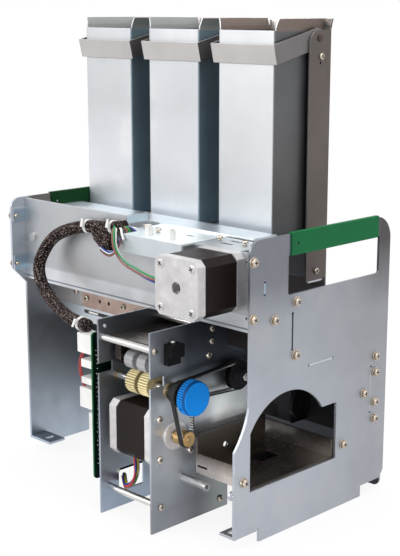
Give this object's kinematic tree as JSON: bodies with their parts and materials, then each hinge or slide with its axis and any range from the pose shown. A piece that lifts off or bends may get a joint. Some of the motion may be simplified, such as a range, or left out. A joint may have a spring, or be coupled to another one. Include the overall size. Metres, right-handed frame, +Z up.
{
  "type": "card dispensing unit",
  "caption": "Open sheet-metal card dispenser with magazines above a deck, hinged bails, a belt-driven pick carriage, a roller transport with hand knob, a catch tray and carrying handles.",
  "frame": {"origin": "middle of the overall box in X and Y, at the level of the side plates' skirts", "axes": "+X to the right along the front beam, +Y from the transport side to the rear, +Z up"},
  "size_m": [0.28, 0.1948, 0.37],
  "materials": {
    "zinc_sheet": "zinc-plated sheet steel, soft mottled sheen",
    "magazine_steel": "brushed sheet steel",
    "bail_steel": "bright sheet steel, slightly warm",
    "tray_steel": "stainless sheet with a brown reflection",
    "copper_panel": "copper-tinted sheet",
    "bright_steel": "ground steel rod",
    "screw_nickel": "nickel-plated, slightly yellow",
    "weight_steel": "machined steel block",
    "cast_aluminium": "die-cast, matt",
    "laminations": "black varnished laminations",
    "brass": "turned brass",
    "green_grip": "moulded, satin",
    "blue_knob": "moulded, ribbed rim",
    "black_plastic": "moulded, matt",
    "belt_rubber": "toothed, matt",
    "cream_roller": "cream roller covering",
    "grey_roller": "grey roller covering",
    "white_nylon": "natural nylon",
    "board_green": "solder-masked laminate",
    "bush_bronze": "sintered bronze",
    "loom_sleeve": "braided sleeve, black-brown",
    "lead_wires": "insulated wires, mixed colours"
  },
  "bodies": {
    "frame": {"left_side_plate": "zinc_sheet", "right_side_plate": "zinc_sheet", "handle_grips": "green_grip", "front_beam": "zinc_sheet", "mid_panel": "copper_panel", "card_shelf": "zinc_sheet", "rear_panel": "zinc_sheet", "back_beam": "zinc_sheet", "deck_plate": "zinc_sheet", "magazine_left": "magazine_steel", "magazine_middle": "magazine_steel", "magazine_right": "magazine_steel", "magazine_back_plate": "magazine_steel", "bail_brackets": "zinc_sheet", "bail_pins": "bright_steel", "carriage_rail": "bright_steel", "rear_guide": "zinc_sheet", "carriage_belt": "belt_rubber", "idler_axle": "bright_steel", "motor_end_caps": "cast_aluminium", "motor_laminations": "laminations", "motor_bracket": "zinc_sheet", "sensor_cover": "zinc_sheet", "nylon_posts": "white_nylon", "transport_left_plate": "zinc_sheet", "transport_right_plate": "zinc_sheet", "card_guide": "tray_steel", "gear_unit": "black_plastic", "transport_spacers": "bright_steel", "shaft_bushes": "bush_bronze", "motor_belt": "belt_rubber", "feed_belt": "belt_rubber", "sensor_block": "black_plastic", "control_board": "board_green", "board_connectors": "white_nylon", "tray": "tray_steel", "loom": "loom_sleeve", "motor_leads": "lead_wires", "frame_screws": "screw_nickel", "small_screws": "screw_nickel"},
    "bail_left_body": {"bail_left": "bail_steel"},
    "bail_middle_body": {"bail_middle": "bail_steel"},
    "bail_right_body": {"bail_right": "bail_steel"},
    "weight_left_body": {"stack_weight_left": "weight_steel"},
    "weight_middle_body": {"stack_weight_middle": "weight_steel"},
    "weight_right_body": {"stack_weight_right": "weight_steel"},
    "carriage_body": {"pick_carriage": "cast_aluminium"},
    "carriage_motor_rotor": {"motor_a_shaft": "bright_steel", "carriage_drive_pulley": "cast_aluminium"},
    "idler_body": {"idler_pulley": "black_plastic"},
    "drive_body": {"drive_shaft": "bright_steel", "hand_knob": "blue_knob", "double_pulley": "black_plastic", "feed_rollers": "cream_roller"},
    "transport_motor_rotor": {"motor_b_shaft": "bright_steel", "motor_pulley": "brass"},
    "pinch_body": {"pinch_shaft": "bright_steel", "pinch_rollers": "grey_roller"},
    "rear_roller_body": {"rear_shaft": "bright_steel", "rear_pulley": "black_plastic"}
  },
  "joints": [
    {"name": "bail_left_hinge", "type": "hinge", "parent": "frame", "child": "bail_left_body", "pos_m": [-0.1049, 0.0671, 0.3555], "axis": [-1, 0, 0], "range_deg": [0, 100]},
    {"name": "bail_middle_hinge", "type": "hinge", "parent": "frame", "child": "bail_middle_body", "pos_m": [-0.0257, 0.0671, 0.3555], "axis": [-1, 0, 0], "range_deg": [0, 100]},
    {"name": "bail_right_hinge", "type": "hinge", "parent": "frame", "child": "bail_right_body", "pos_m": [0.0535, 0.0671, 0.3555], "axis": [-1, 0, 0], "range_deg": [0, 100]},
    {"name": "weight_left_slide", "type": "slide", "parent": "frame", "child": "weight_left_body", "axis": [0, 0, 1], "range_m": [0, 0.134]},
    {"name": "weight_middle_slide", "type": "slide", "parent": "frame", "child": "weight_middle_body", "axis": [0, 0, 1], "range_m": [0, 0.134]},
    {"name": "weight_right_slide", "type": "slide", "parent": "frame", "child": "weight_right_body", "axis": [0, 0, 1], "range_m": [0, 0.134]},
    {"name": "carriage_slide", "type": "slide", "parent": "frame", "child": "carriage_body", "axis": [1, 0, 0], "range_m": [-0.1497, 0.0087]},
    {"name": "carriage_motor_spin", "type": "hinge", "parent": "frame", "child": "carriage_motor_rotor", "pos_m": [0.0994, -0.0415, 0.19], "axis": [0, 1, 0], "range_deg": [-1100, 75]},
    {"name": "idler_spin", "type": "hinge", "parent": "frame", "child": "idler_body", "pos_m": [-0.124, -0.0415, 0.19], "axis": [0, 1, 0], "range_deg": [-1100, 75]},
    {"name": "drive_spin", "type": "hinge", "parent": "frame", "child": "drive_body", "pos_m": [0.046, -0.0782, 0.1065], "axis": [1, 0, 0], "continuous": true},
    {"name": "transport_motor_spin", "type": "hinge", "parent": "frame", "child": "transport_motor_rotor", "pos_m": [0.06, -0.0734, 0.0715], "axis": [1, 0, 0], "continuous": true},
    {"name": "rear_roller_spin", "type": "hinge", "parent": "frame", "child": "rear_roller_body", "pos_m": [0.046, -0.0146, 0.1065], "axis": [1, 0, 0], "continuous": true},
    {"name": "pinch_spin", "type": "hinge", "parent": "frame", "child": "pinch_body", "pos_m": [0.046, -0.0782, 0.1224], "axis": [1, 0, 0], "continuous": true}
  ],
  "couplings": [
    {"joint": "carriage_motor_spin", "follows": "carriage_slide", "rad_per_m": 125.66},
    {"joint": "idler_spin", "follows": "carriage_slide", "rad_per_m": 125.66},
    {"joint": "transport_motor_spin", "follows": "drive_spin", "ratio": 1.75},
    {"joint": "rear_roller_spin", "follows": "drive_spin", "ratio": 0.625},
    {"joint": "pinch_spin", "follows": "drive_spin", "ratio": -1.2286}
  ]
}
